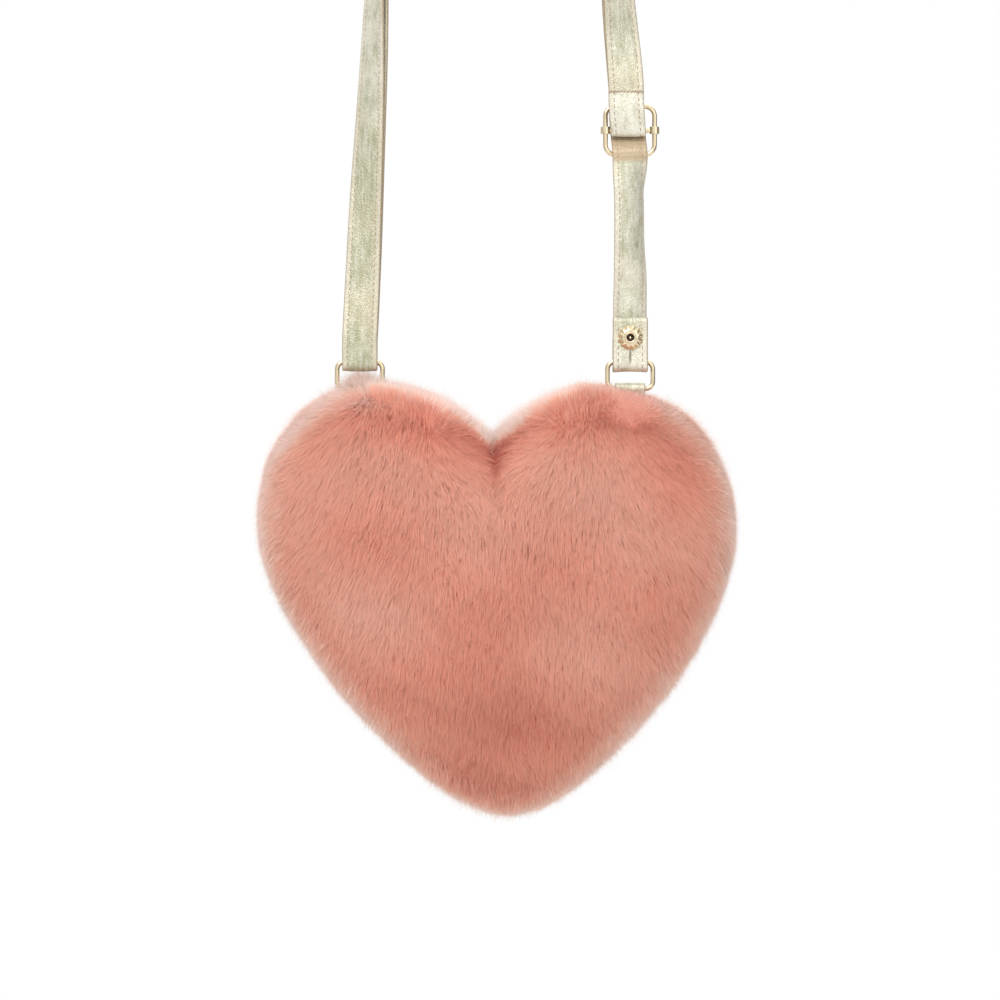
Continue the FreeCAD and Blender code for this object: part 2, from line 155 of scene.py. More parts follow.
def mesh_piece(name, points, quads, triangles=()):
    """A mesh object from millimetre points and index arrays, its closed faces turned outwards."""
    points = np.asarray(points, np.float64).reshape(-1, 3) * MM
    quads = np.asarray(quads, np.int64).reshape(-1, 4)
    triangles = np.asarray(triangles, np.int64).reshape(-1, 3)
    fans = np.vstack([quads[:, [0, 1, 2]], quads[:, [0, 2, 3]], triangles])
    a, b, c = (points[fans[:, n]] - points.mean(0) for n in range(3))
    if np.einsum("ij,ij->", a, np.cross(b, c)) < 0:
        quads, triangles = quads[:, ::-1], triangles[:, ::-1]
    mesh = bpy.data.meshes.new(name)
    corners = np.concatenate([quads.ravel(), triangles.ravel()])
    totals = np.concatenate([np.full(len(quads), 4), np.full(len(triangles), 3)])
    mesh.vertices.add(len(points))
    mesh.vertices.foreach_set("co", points.ravel().astype(np.float32))
    mesh.loops.add(len(corners))
    mesh.loops.foreach_set("vertex_index", corners.astype(np.int32))
    mesh.polygons.add(len(totals))
    mesh.polygons.foreach_set("loop_start", (np.cumsum(totals) - totals).astype(np.int32))
    mesh.polygons.foreach_set("loop_total", totals.astype(np.int32))
    mesh.polygons.foreach_set("use_smooth", np.ones(len(totals), bool))
    mesh.update(calc_edges=True)
    piece = bpy.data.objects.new(name, mesh)
    bpy.context.scene.collection.objects.link(piece)
    return piece


def mark(mesh, name, values):
    """Gives each point of a mesh a value that its material can read."""
    mesh.attributes.new(name, "FLOAT", "POINT").data.foreach_set("value", values.astype(np.float32))


def lay_flat(mesh, name, places):
    """A UV map from each point's place on the flat."""
    corner = np.zeros(len(mesh.loops), np.int32)
    mesh.loops.foreach_get("vertex_index", corner)
    mesh.uv_layers.new(name=name).data.foreach_set("uv", places[corner].astype(np.float32).ravel())


def grid_quads(rows, columns, wrap_rows=False, wrap_columns=True):
    """Index quads between the neighbours of a grid that may close on itself either way."""
    r = np.arange(rows if wrap_rows else rows - 1)[:, None]
    c = np.arange(columns if wrap_columns else columns - 1)[None, :]
    right, below = (c + 1) % columns, (r + 1) % rows
    return np.stack([r * columns + c, r * columns + right, below * columns + right, below * columns + c], -1)


def bowl(name, edge, inset, ply):
    """The front half of a layer: over its outside from the pole to the seam, back along its inside."""
    turn = np.linspace(0, math.pi / 2, 26)[:-1]
    outside, inside = half_heart(edge, inset, -1, turn[::-1]), half_heart(edge, inset + ply, -1, turn)
    grid = np.concatenate([outside, inside])
    rows, columns = grid.shape[:2]
    poles = [[heart_middle[0], -front_depth + inset, heart_middle[1]]]
    poles.append([heart_middle[0], -front_depth + inset + ply, heart_middle[1]])
    ring = np.arange(columns)
    first, last = rows * columns, rows * columns + 1
    fan = np.stack([np.full(columns, first), (ring + 1) % columns, ring], 1)
    end = (rows - 1) * columns
    other = np.stack([np.full(columns, last), end + ring, end + (ring + 1) % columns], 1)
    points = np.concatenate([grid.reshape(-1, 3), poles])
    return mesh_piece(name, points, grid_quads(rows, columns), np.concatenate([fan, other]))


def slotted_bowl(name, edge, inset, ply, slot):
    """The back half of a layer: from the zip opening over its outside to the seam and back inside."""
    turn = np.linspace(0, math.pi / 2, 14)
    outside = back_rows(edge, inset, turn, 10, slot)
    inside = back_rows(edge, inset + ply, turn, 10, slot)
    grid = np.concatenate([outside, inside[::-1]])
    return mesh_piece(name, grid, grid_quads(*grid.shape[:2], wrap_rows=True))


class Shade:
    """One output of a material's node. Sums, products and quotients of it add Math nodes."""

    def __init__(self, tree, socket):
        self.tree, self.socket = tree, socket

    def node(self, kind, settings=None, sockets=None, output=0):
        """Any node by its type: its settings first, then the values or links of its sockets."""
        made = self.tree.nodes.new(kind)
        for key, value in (settings or {}).items():
            if key == "stops":
                for n, (place, colour) in enumerate(value):
                    stop = made.color_ramp.elements[n] if n < 2 else made.color_ramp.elements.new(place)
                    stop.position, stop.color = place, (*colour, 1)
            else:
                setattr(made, key, value)
        for key, value in (sockets or {}).items():
            if isinstance(value, Shade):
                self.tree.links.new(value.socket, made.inputs[key])
            else:
                made.inputs[key].default_value = value
        return Shade(self.tree, made.outputs[output])

    def math(self, operation, *values):
        return self.node("ShaderNodeMath", {"operation": operation}, dict(enumerate(values)))

    def __add__(self, other):
        return self.math("ADD", self, other)

    def __sub__(self, other):
        return self.math("SUBTRACT", self, other)

    def __rsub__(self, other):
        return self.math("SUBTRACT", other, self)

    def __mul__(self, other):
        return self.math("MULTIPLY", self, other)

    def __truediv__(self, other):
        return self.math("DIVIDE", self, other)

    __radd__, __rmul__ = __add__, __mul__

    def clamp(self):
        return self.math("MINIMUM", self.math("MAXIMUM", self, 0.0), 1.0)

    def blend(self, first, second):
        """The first colour where this is 0, the second where it is 1."""
        return self.node(
            "ShaderNodeMix", {"data_type": "RGBA"}, {0: self, 6: first, 7: second}, output=2
        )


def tone(red, green, blue):
    """A colour as seen on a screen, 0 to 255, as the light that a shader works in."""
    seen = np.array([red, green, blue]) / 255
    light = np.where(seen <= 0.04045, seen / 12.92, ((seen + 0.055) / 1.055) ** 2.4)
    return (*light.tolist(), 1.0)


def material(name, **plain):
    """A new material: its shader with plain socket values, and the point on the piece as a Shade."""
    made = bpy.data.materials.new(name)
    made.use_nodes = True
    tree = made.node_tree
    shader = tree.nodes["Principled BSDF"]
    for key, value in plain.items():
        shader.inputs[key.replace("_", " ").title()].default_value = value
    place = tree.nodes.new("ShaderNodeTexCoord")
    return made, shader, Shade(tree, place.outputs["Object"])


def feed(shader, **links):
    """Links Shades to the shader's sockets."""
    for key, value in links.items():
        value.tree.links.new(value.socket, shader.inputs[key.replace("_", " ").title()])


def bump(height, distance, strength):
    """A bumped normal from a height between 0 and 1 that stands for a distance in metres."""
    return height.node(
        "ShaderNodeBump", {}, {"Height": height, "Distance": distance, "Strength": strength}
    )


def grain(place, scale, detail=2.0, roughness=0.5):
    """Soft noise with cells of 1/scale metres."""
    sockets = {"Vector": place, "Scale": scale, "Detail": detail, "Roughness": roughness}
    return place.node("ShaderNodeTexNoise", {}, sockets)


def threads(place, direction, pitch):
    """0 to 1 across threads that lie a pitch apart along a direction X, Y or Z."""
    wave = {"wave_type": "BANDS", "bands_direction": direction, "wave_profile": "SIN"}
    sockets = {"Vector": place, "Scale": math.pi / 10 / pitch, "Distortion": 0.3, "Detail": 1.0}
    return place.node("ShaderNodeTexWave", wave, sockets)


def dress(piece, surface, body, slot, *nodes):
    """Gives a piece its material, the body that it rides on and the solids that it replaces; its slot is not
    used.
    """
    piece.data.materials.append(surface)
    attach(piece, body)
    if nodes:
        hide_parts(*nodes)


edge = heart_edge(240)
lining_slot = (55.0, 6.0)
front_pouch = bowl("lining_front_half", edge, lining_inset, lining_ply)
back_pouch = slotted_bowl("lining_back_half", edge, lining_inset, lining_ply, lining_slot)
satin, satin_shader, satin_place = material("pink_satin", roughness=0.42, sheen_weight=0.25)
satin_weave = threads(satin_place, "X", 0.0006) * 0.5 + threads(satin_place, "Z", 0.0009) * 0.5
satin_tint = (grain(satin_place, 60) * 0.6 + satin_weave * 0.4).clamp()
feed(satin_shader, base_color=satin_tint.blend(tone(205, 150, 140), tone(228, 182, 172)))
feed(satin_shader, normal=bump(satin_weave, 0.00012, 0.4))
for piece, node in ((front_pouch, "front_lining"), (back_pouch, "back_lining")):
    dress(piece, satin, "purse", "lining", node)


# Wadding
# Sheets of white polyester fibre, laid between the lining and the fur's backing to round the heart.
# They are caught in the seam and trimmed back round the zip's tapes.
wadding_inset, wadding_ply, wadding_slot = 7.5, 4.0, (61.0, 14.4)
front_fill = bowl("wadding_front_half", edge, wadding_inset, wadding_ply)
back_fill = slotted_bowl("wadding_back_half", edge, wadding_inset, wadding_ply, wadding_slot)
fibre, fibre_shader, fibre_place = material("white_wadding", roughness=0.95)
fibre_cloud = grain(fibre_place, 260, 5.0, 0.65)
feed(fibre_shader, base_color=fibre_cloud.blend(tone(222, 220, 214), tone(250, 249, 246)))
feed(fibre_shader, normal=bump(fibre_cloud, 0.0012, 0.8))
for piece, node in ((front_fill, "front_wadding"), (back_fill, "back_wadding")):
    dress(piece, fibre, "purse", "wadding", node)


# Fur backing
# The knitted cloth that carries the pile, with the dense underfur felted on it, sewn edge to edge
# round the heart. The back panel is cut open for the zip, its edges turned in to the tapes.
backing_inset, backing_ply = 2.5, 4.3
front_cloth = bowl("fur_backing_front", edge, backing_inset, backing_ply)
back_cloth = slotted_bowl(
    "fur_backing_back", edge, backing_inset, backing_ply, (slot_half_length, slot_half_height)
)
knit, knit_shader, knit_place = material("coral_knit_backing", roughness=0.9, sheen_weight=0.3)
knit_rows = threads(knit_place, "X", 0.0009) * threads(knit_place, "Z", 0.0012)
underfur = grain(knit_place, 1600, 4.0, 0.7)
knit_tint = (underfur * 0.8 + knit_rows * 0.2).clamp()
# The backing's deep coral, darker than the hairs, is partly its own tone and partly painted shade for the
# depth of the pile that shows between the locks.
feed(knit_shader, base_color=knit_tint.blend(tone(200, 118, 100), tone(230, 160, 140)))
feed(knit_shader, normal=bump(underfur, 0.0006, 0.7))
for piece, node in ((front_cloth, "front_fur_panel"), (back_cloth, "back_fur_panel")):
    dress(piece, knit, "purse", "fur", node)


# Fur pile
# Fine acrylic hairs under a centimetre long, sheared level, standing off the backing and brushed down.
# Each hair is a narrow tapering ribbon with its root in the backing. Small locks lean together, and a
# pale fringe stands out of the seam. The tints carry painted rim light along the seam, and painted
# shade in the valley under the notch, at the foot and along the ridges.
pile_height = 6.4
hair_width, back_hair_width, fringe_hair_width = 0.25, 0.26, 0.16
hair_steps = np.array([0.0, 0.5, 1.0])
hair_taper = np.array([1.0, 0.82])
shade_levels, shade_low, shade_span = 16, 0.82, 0.36
warm_levels, hair_stops = 14, [-0.6, 0.0, 1.0, 1.8]
# Root to tip tints for four steps of warmth: the near-white cream of the painted rim light, peach, coral, and
# the deep coral of the painted shade in the valley.
hair_tints = np.array(
    [
        [tone(*colour)[:3] for colour in root_to_tip]
        for root_to_tip in (
            [(250, 224, 212), (254, 239, 231), (255, 248, 243)],
            [(236, 186, 166), (246, 214, 196), (252, 231, 218)],
            [(222, 138, 116), (238, 169, 146), (246, 196, 175)],
            [(156, 66, 54), (188, 92, 77), (206, 118, 101)],
        )
    ]
).reshape(4, 9)
warmths = np.linspace(hair_stops[0], hair_stops[-1], warm_levels)
palette = np.stack([np.interp(warmths, hair_stops, tint) for tint in hair_tints.T], 1).reshape(-1, 3, 3)
ridge_near, ridge_far, ridge_height, ridge_slope = 26.0, 47.0, lobe_height - 4.5, 0.42
lock_size, clump_size = 2.6, 6.5
patch_size, patch_seed = 58, 4664


def unit(vectors):
    """Vectors at length one along the last axis."""
    return vectors / np.maximum(np.linalg.norm(vectors, axis=-1, keepdims=True), 1e-9)


def ease(share):
    """A smooth step from 0 to 1."""
    share = np.clip(share, 0, 1)
    return share * share * (3 - 2 * share)


def bell(distance, width):
    """1 in the middle, falling off on both sides as a Gaussian of a width."""
    return np.exp(-((distance / width) ** 2))


def soft_field(places, size, seed):
    """A smooth random field of about -1 to 1: a sum of sines with random directions and phases."""
    chance = np.random.default_rng(seed)
    aim = chance.normal(size=(7, 3)) * (2 * math.pi / size)
    phase = chance.uniform(0, 2 * math.pi, 7)
    return np.sin(places @ aim.T + phase).sum(1) / 2.6


def scatter(rows, count, chance, dense=1.0):
    """Random places over a grid surface, closer where it faces up or is dense, with outward normals."""
    right = np.roll(rows, -1, 1)
    sway = (right - np.roll(rows, 1, 1)) / 2
    normal = unit(np.cross(sway, np.gradient(rows, axis=0)))
    normal *= np.sign((normal * (rows - rows.mean((0, 1)))).sum())
    normal[0] = normal[1]
    reach = right - rows
    area = np.linalg.norm(np.cross((reach[:-1] + reach[1:]) / 2, rows[1:] - rows[:-1]), axis=-1)
    area = area * dense * (1 + 0.5 * ease((normal[:-1, :, 2] + 0.1) / 0.9))
    pick = chance.choice(area.size, count, p=(area / area.sum()).ravel())
    r, c = np.divmod(pick, rows.shape[1])
    n = (c + 1) % rows.shape[1]
    u, v = chance.random((2, count, 1))

    def read(grid):
        upper = (1 - u) * grid[r, c] + u * grid[r, n]
        return (1 - v) * upper + v * ((1 - u) * grid[r + 1, c] + u * grid[r + 1, n])

    return read(rows), unit(read(normal))


def lock_centres(spots, size, seed):
    """For each hair the nearest of a scatter of lock centres, one in each cell of a jittered grid."""
    flat = spots[:, [0, 2]] / size
    cell = np.floor(flat).astype(np.int64)
    best = np.full(len(flat), 9e9)
    centre, tag = np.zeros_like(flat), np.zeros(len(flat))
    for dx, dz in np.ndindex(3, 3):
        near = cell + (dx - 1, dz - 1)
        mix = (near[:, 0] * 73856093 ^ near[:, 1] * 19349663 ^ seed * 83492791) & 0x7FFFFFFF
        spot = near + np.stack([(mix * 48271 % 65521) / 65521, (mix * 69621 % 65519) / 65519], 1)
        far = ((spot - flat) ** 2).sum(1)
        nearer = far < best
        best = np.where(nearer, far, best)
        centre = np.where(nearer[:, None], spot, centre)
        tag = np.where(nearer, (mix * 40692 % 65497) / 65497, tag)
    return centre * size, tag


def on_heart(spots):
    """How far places lie to the right of the heart's middle and over its widest level."""
    return spots[:, 0] - heart_middle[0], spots[:, 2] - heart_level


def in_valley(x, level):
    """1 along the crease under the notch, which widens upwards."""
    return bell(x, 3.2 + 0.9 * np.maximum(level - 21, 0)) * ease((level - 16) / 8)


def brushed(spots, normals, tag, seed, chance):
    """The nap along the surface, and how far each place is from its lobe's ridge.

    The nap fans out from a ridge along the top of each lobe. Further off it runs down the heart,
    spreads to the flanks and closes in on the valley under the notch.
    """
    x, level = on_heart(spots)
    gather = bell(x, 20) * ease((level + 2) / 26)
    sideways = 0.55 * ease((np.abs(x) - 26) / 50) - 0.6 * gather * ease(np.abs(x) / 12)
    on_ridge = np.clip(np.abs(x), ridge_near, ridge_far)
    ridge_level = ridge_height - ridge_slope * (ridge_far - on_ridge)
    blur = 3.0 * soft_field(spots, 9, seed + 8) + 3.5 * (tag - 0.5) + 4.5 * chance.normal(size=len(x))
    ray = np.stack([np.abs(x) - on_ridge, level - ridge_level + blur], 1)
    away = np.linalg.norm(ray, axis=1)
    fan = bell(away, 24)
    ray = ray / np.maximum(away, 2.5)[:, None]
    sideways = np.sign(x) * ((1 - fan) * sideways + 1.2 * fan * ray[:, 0])
    sideways = sideways + 0.15 * soft_field(spots, 46, seed + 1)
    nap = np.stack([sideways, np.zeros(len(x)), -(1 - fan) + 1.2 * fan * ray[:, 1]], 1)
    return nap - normals * (nap * normals).sum(1, keepdims=True), away


def tinted(spots, away, by_tab, tag, seed, chance, fringe):
    """Steps of shade and warmth for each hair.

    Painted rim light makes the hairs pale along the seam, most on the left lobe, and the fringe paler
    still. Painted shade makes them deep coral in the valley under the notch and warmer at the heart's
    foot. They are warmer along the ridges, partly the fur's tone and partly painted shade between the
    standing locks, and warmer under the strap's left fold, over broad soft patches. Painted light lifts
    the fringe in the notch and the hairs where the nap parts; painted shade darkens the right lobe's top,
    the pale hairs on the left lobe's top and the hairs by the right tab.
    """
    count, depth = len(spots), np.abs(spots[:, 1])
    x, level = on_heart(spots)
    right_lobe, on_top = ease((x - 18) / 16), ease((level - 20) / 15)
    rim = ease(1 - depth / 21)
    # The pale band along the seam is painted rim light: cream hairs stand for tips lit from behind.
    brim = 18 + on_top * (5 * bell(x, 32) - 4 * bell(x, 8))
    pale = ease((brim - depth) / (14 - 5 * on_top)) * ease((9 - spots[:, 1]) / 12)
    # Painted shade: the crease under the notch is tinted deep coral for the shade that falls in it.
    valley_shade = in_valley(x, level) * (1 - fringe) * ease((depth - brim + 8) / 6)
    by_fold = fringe * on_top * bell(spots[:, 0] + half_spacing, 9) * (1.6 + 0.3 * ease((depth - 3) / 6))
    near_ridge = bell(away, 10 + 6 * right_lobe) * (1 - fringe)
    parting_light = bell(away, 6) * (1 - fringe) * (1 - right_lobe)
    in_notch = fringe * bell(x, 12) * on_top
    # Painted shade: hairs are tinted deeper coral towards the heart's foot, darker towards the bottom.
    foot_shade = ease((-level - 20) / 60) * bell(x, 42)
    shade = 1 + 0.025 * chance.normal(size=count) + 0.04 * (tag - 0.5)
    shade = shade + 0.015 * soft_field(spots, 34, seed + 4) - 0.02 * rim
    # Painted shade darkens the right lobe's top, most near the seam, and tones down the painted rim light on
    # the left lobe's top.
    shade = shade - on_top * (right_lobe * (0.02 + 0.05 * rim) + 0.05 * pale * (1 - right_lobe))
    # Painted light lifts the fringe hairs in the shaded notch and the hairs where the nap parts on the left
    # ridge. Painted shade darkens the hairs by the right tab, where standing hairs catch the light.
    shade = shade + 0.12 * in_notch + 0.06 * parting_light - 0.12 * by_tab * (1 - fringe)
    warm = 0.76 + 0.19 * soft_field(spots, patch_size, patch_seed) + 0.14 * chance.normal(size=count)
    # How far the painted rim light pulls hairs towards cream, less on the right lobe's top; the fringe is
    # made a little paler still.
    rim_light_cream = 1.65 + 0.35 * ease((level + 60) / 60) + on_top * (0.35 - 1.3 * right_lobe)
    warm = warm - rim_light_cream * pale * (1 - valley_shade) - 0.3 * fringe * (1 - on_top * right_lobe)
    # Deeper coral along the ridges, partly the fur's own tone and partly painted shade between the standing
    # locks, most on the right lobe and by the right tab.
    ridge_coral_shade = near_ridge * (0.2 + 0.2 * right_lobe + 0.3 * by_tab)
    warm = warm + 1.5 * valley_shade + by_fold + ridge_coral_shade + 0.5 * foot_shade * (1 - rim)
    warm_span = hair_stops[-1] - hair_stops[0]
    steps = np.stack([(shade - shade_low) / shade_span, (warm - hair_stops[0]) / warm_span], 1)
    top = np.array([shade_levels - 1, warm_levels - 1])
    return np.clip(np.rint(steps * top), 0, top).astype(np.int64)


def comb(spots, normals, seed, height, fringe=0.0):
    """Hair centre lines, facing directions and tint steps for places on the fur's outside.

    A hair has its root as far under its place as it stands. It leaves the root near the normal, leans
    over along the nap with the square of its length, and its tip is drawn a little towards the middle
    of its lock. Hairs lean less at the seam's top, by the right tab and in the fringe. They stand
    lower by the right tab, and higher in the fringe's tuft under the strap's left fold.
    """
    chance = np.random.default_rng(seed)
    count = len(spots)
    x, level = on_heart(spots)
    centre, tag = lock_centres(spots, lock_size, seed)
    _, clump = lock_centres(spots, clump_size, seed + 9)
    filled = 0.92 * bell(x, 8) * ease((level + 6) / 20)
    normals = unit(normals * np.stack([1 - filled, np.ones(count), np.ones(count)], 1))
    nap, away = brushed(spots, normals, tag, seed, chance)
    rise = normals[:, 2]
    on_shoulder = ease((rise - 0.3) / 0.4)
    by_tab = bell(spots[:, 0] - half_spacing, 13) * on_shoulder
    tuft = fringe * bell(spots[:, 0] + half_spacing, 5.5) * bell(spots[:, 1], 4) * on_shoulder
    reach = 0.36 + 0.14 * (tag - 0.5) + 0.2 * (chance.random(count) - 0.5)
    crown = ease((reach - np.abs(normals[:, 1])) / 0.2) * ease((rise - 0.2) / 0.5)
    tilt = 1.1 + 0.6 * ease(rise / 0.75) - 0.5 * ease(-rise / 0.8) + 0.08 * soft_field(spots, 30, seed + 2)
    tilt = tilt * (1 - (0.6 + 0.35 * by_tab) * crown) * (1 - 0.7 * fringe * ease((rise + 0.3) / 0.6))
    tilt = tilt * (0.8 + 0.2 * ease(away / 8)) * (1 - 0.4 * by_tab)
    tilt = (tilt * np.sqrt(np.linalg.norm(nap, axis=1)))[:, None]
    nap = unit(nap)
    side = unit(np.cross(normals, nap))
    swing = (0.11 * (tag - 0.5) + 0.12 * (clump - 0.5))[:, None]
    stray = chance.normal(size=(count, 3)) * (0.14 + 0.08 * fringe)
    start = unit(normals + nap * tilt * 0.7 + side * swing + stray)
    over = nap * tilt * 0.3 - normals * 0.10 + side * swing * 0.4
    long = 0.92 + 0.16 * chance.random(count) + 1.1 * np.maximum(chance.random(count) - 0.8, 0)
    long = height * long * (1 + 0.05 * soft_field(spots, 21, seed + 3) + 0.08 * crown)
    long = long * (1 + fringe * 0.5 * chance.random(count) ** 2)
    rim = ease(1 - np.abs(spots[:, 1]) / 21)
    sunk = 0.4 * rim + 0.5 * in_valley(x, level) + 2.5 * by_tab - 3.4 * tuft - 0.04 * height
    proud = height * ((start + over) * normals).sum(1) + sunk
    t = hair_steps[None, :, None]
    root = spots - normals * proud[:, None]
    line = root[:, None] + long[:, None, None] * (start[:, None] * t + over[:, None] * t**2)
    draw = np.zeros((count, 3))
    draw[:, [0, 2]] = centre - spots[:, [0, 2]]
    draw -= normals * (draw * normals).sum(1, keepdims=True)
    line = line + draw[:, None] * (0.13 * (1 - fringe) * t**1.5)
    facing = unit(normals + chance.normal(size=(count, 3)) * 0.12)
    return line, facing, tinted(spots, away, by_tab, tag, seed, chance, fringe)


def pelt(name, glow):
    """Hair that takes its tint from the attribute and lets light through in the colour of its glow."""
    made, shader, _ = material(name, roughness=0.7, sheen_weight=0.2, sheen_roughness=0.5)
    lit = Shade(made.node_tree, shader.outputs[0])
    feed(shader, base_color=lit.node("ShaderNodeAttribute", {"attribute_name": "hair_tint"}))
    through = lit.node("ShaderNodeBsdfTranslucent", {}, {"Color": glow})
    mixed = lit.node("ShaderNodeMixShader", {}, {0: 0.45, 1: lit, 2: through})
    made.node_tree.links.new(mixed.socket, made.node_tree.nodes["Material Output"].inputs["Surface"])
    return made


fur = pelt("dusty_pink_fur", tone(248, 210, 194))
seam_fur = pelt("pale_seam_fur", tone(250, 240, 234))


def plant(name, line, facing, levels, width, pile):
    """Ribbons along hair centre lines: two points at each step, one at the tip.

    Hairs of one shade and warmth share a cell of the map, root at its bottom and tip at its top.
    """
    count = len(line)
    along = unit(np.diff(line, axis=1))
    across = unit(np.cross(along, facing[:, None])) * (width[:, None] * hair_taper)[..., None] / 2
    left, right = line[:, :2] - across, line[:, :2] + across
    ribbon = np.concatenate([np.stack([left, right], 2).reshape(count, 4, 3), line[:, 2:]], 1)
    base = np.arange(count)[:, None] * 5
    piece = mesh_piece(name, ribbon, base + [0, 1, 3, 2], base + [2, 3, 4])
    mesh = piece.data
    tint = palette[levels[:, 1]] * (shade_low + shade_span * levels[:, 0] / (shade_levels - 1))[:, None, None]
    colours = np.ones((count, 5, 4), np.float32)
    colours[..., :3] = np.clip(np.repeat(tint, [2, 2, 1], axis=1), 0, 1)
    mesh.attributes.new("hair_tint", "FLOAT_COLOR", "POINT").data.foreach_set("color", colours.ravel())
    spread = np.array([0.1, 0.9, 0.1, 0.9, 0.5])
    climb = np.repeat(hair_steps, [2, 2, 1]) * 0.8 + 0.1
    cell = np.stack([levels[:, :1] + spread, levels[:, 1:] + climb], -1) / (shade_levels, warm_levels)
    lay_flat(mesh, "OFBake", cell.reshape(-1, 2))
    dress(piece, pile, "purse", "fur")


def varied(width, count, chance):
    """Hair widths up to a quarter either way of a mean."""
    return width * chance.uniform(0.75, 1.25, count)


fine_edge = heart_edge(480)
chance = np.random.default_rng(41)
front_count, back_count, fringe_counts = 290000, 180000, (40000, 16000)
front_rows = half_heart(fine_edge, 0.0, -1, np.linspace(math.pi / 2, 0, 90))
front_spots, front_aim = scatter(front_rows, front_count, chance)
front_hair = comb(front_spots, front_aim, 7, np.full(front_count, pile_height))
front_width = varied(hair_width, front_count, chance)
low_fifth, waist = np.quantile(front_spots[:, 2], [0.2, 0.6])
point, lobes = front_spots[:, 2] < low_fifth, front_spots[:, 2] >= waist
flanks = ~point & ~lobes
lobe_left = front_spots[:, 0] < np.median(front_spots[lobes, 0])
flank_left = front_spots[:, 0] < np.median(front_spots[flanks, 0])
for name, part in (
    ("fur_front_left_lobe", lobes & lobe_left),
    ("fur_front_right_lobe", lobes & ~lobe_left),
    ("fur_front_left_flank", flanks & flank_left),
    ("fur_front_right_flank", flanks & ~flank_left),
    ("fur_front_point", point),
):
    plant(name, *(array[part] for array in front_hair), front_width[part], fur)

back_turn = np.linspace(0, math.pi / 2, 40)
bare = 1.5
back_grid = back_rows(fine_edge, 0.0, back_turn, 30, (slot_half_length + bare, slot_half_height + bare))
back_spots, back_aim = scatter(back_grid, back_count, chance)
from_slot = np.hypot(
    np.maximum(np.abs(back_spots[:, 0]) - slot_half_length, 0),
    np.maximum(np.abs(back_spots[:, 2] - heart_level - zip_level) - slot_half_height, 0),
)
on_flat = back_spots[:, 1] > back_depth - 1
back_height = pile_height * np.where(on_flat, np.clip(0.45 + from_slot / 14, 0, 1), 1.0)
back_hair = comb(back_spots, back_aim, 23, back_height)
back_width = varied(back_hair_width, back_count, chance)
back_point = back_spots[:, 2] < np.quantile(back_spots[:, 2], 1 / 3)
back_left = back_spots[:, 0] < np.median(back_spots[~back_point, 0])
for name, part in (
    ("fur_back_left", ~back_point & back_left),
    ("fur_back_right", ~back_point & ~back_left),
    ("fur_back_point", back_point),
):
    plant(name, *(array[part] for array in back_hair), back_width[part], fur)

fringe_turn = np.linspace(0.55, 0, 16)
edge_x, upper_edge = fine_edge[:, 0], fine_edge[:, 1] > heart_level
near_notch = bell(edge_x - heart_middle[0], 8) * upper_edge
under_fold = bell(edge_x + half_spacing, 5.5) * upper_edge
fringe_dense = 1 + 3 * near_notch + 9 * under_fold * ease((0.22 - fringe_turn[1:, None]) / 0.12)
fringe_places = [
    scatter(half_heart(fine_edge, 0.0, half, fringe_turn), count, chance, fringe_dense)
    for half, count in zip((-1, 1), fringe_counts)
]
fringe_spots, fringe_aim = (np.concatenate(part) for part in zip(*fringe_places))
in_notch = bell(fringe_spots[:, :1] - heart_middle[0], 12) * (fringe_spots[:, 2:] > heart_level)
fringe_aim = unit(fringe_aim + in_notch * (0, 0, 1.2))
fringe_hair = comb(fringe_spots, fringe_aim, 57, np.full(len(fringe_spots), pile_height), 1.0)
plant("fur_seam_fringe", *fringe_hair, varied(fringe_hair_width, len(fringe_spots), chance), seam_fur)


# Strap
# One strip of pearly coated leathercloth, two plies stitched together along both edges, 13 mm wide.
# It is sewn round the buckle's bar, runs over the arch, doubles back under the left ring, threads the
# buckle behind itself and ends riveted round the right ring.
strap_width, strap_thickness, seam_inset = 13.0, 1.2, 2.0
doubled_gap, arch_radius, run_height = 0.3, 39.0, 208.5
wire_radius, fold_clearance = 0.9, 0.3
fold_leg, layers_meet, tab_end = 8.0, 22.0, 16.3
fold_slack, side_play, tail_play, tail_twist = 1.2, 1.5, 0.5, math.radians(26)
buckle_height, buckle_pitch, stitch_rise = 85.8, 8.9, 6.7
arch_centre = -arch_radius
arch_middle = arch_radius + strap_thickness + doubled_gap / 2
doubled_offset = (strap_thickness + doubled_gap) / 2
fold_radius = wire_radius + fold_clearance
fold_offset = fold_radius + strap_thickness / 2
stitch_height = buckle_height + buckle_pitch + stitch_rise
buckle_plane = fold_offset
weave_depth = buckle_plane + fold_radius + 1.5 * strap_thickness + fold_clearance
front_ply = strap_thickness / 2 + fold_clearance + 1.5 * strap_thickness
tail_start = tab_end + 2.0


def aside(heights):
    """How far the right strap lies off its ring's middle: left over the buckle, right under it."""
    over = ease((heights - 74) / 24) * (1 - ease((heights - 125) / 85))
    return tail_play * ease((heights - 18) / 16) * ease((76 - heights) / 20) - side_play * over


def strap_run(side, heights, low_offset, offset, face):
    """The strap up or down one side, at heights over the rings' axis.

    Its face turns evenly from the front at the bottom to outward at the arch, while the run
    closes in from the ring to the arch. face is 1 for the outer layer and -1 for the inner one.
    """
    start = fold_leg if side < 0 else stitch_height
    share = (heights - start) / (run_height - start)
    turn = share * math.pi / 2
    out = np.stack([side * np.sin(turn), -np.cos(turn), np.zeros(len(turn))], 1)
    x = side * (half_spacing + (arch_middle - half_spacing) * share)
    x = x + (aside(heights) if side > 0 else 0)
    shift = low_offset + (offset - low_offset) * ease((heights - start) / layers_meet)
    middle = np.stack([x, np.zeros(len(x)), ring_axis + heights], 1)
    return middle + out * shift[:, None], out * face


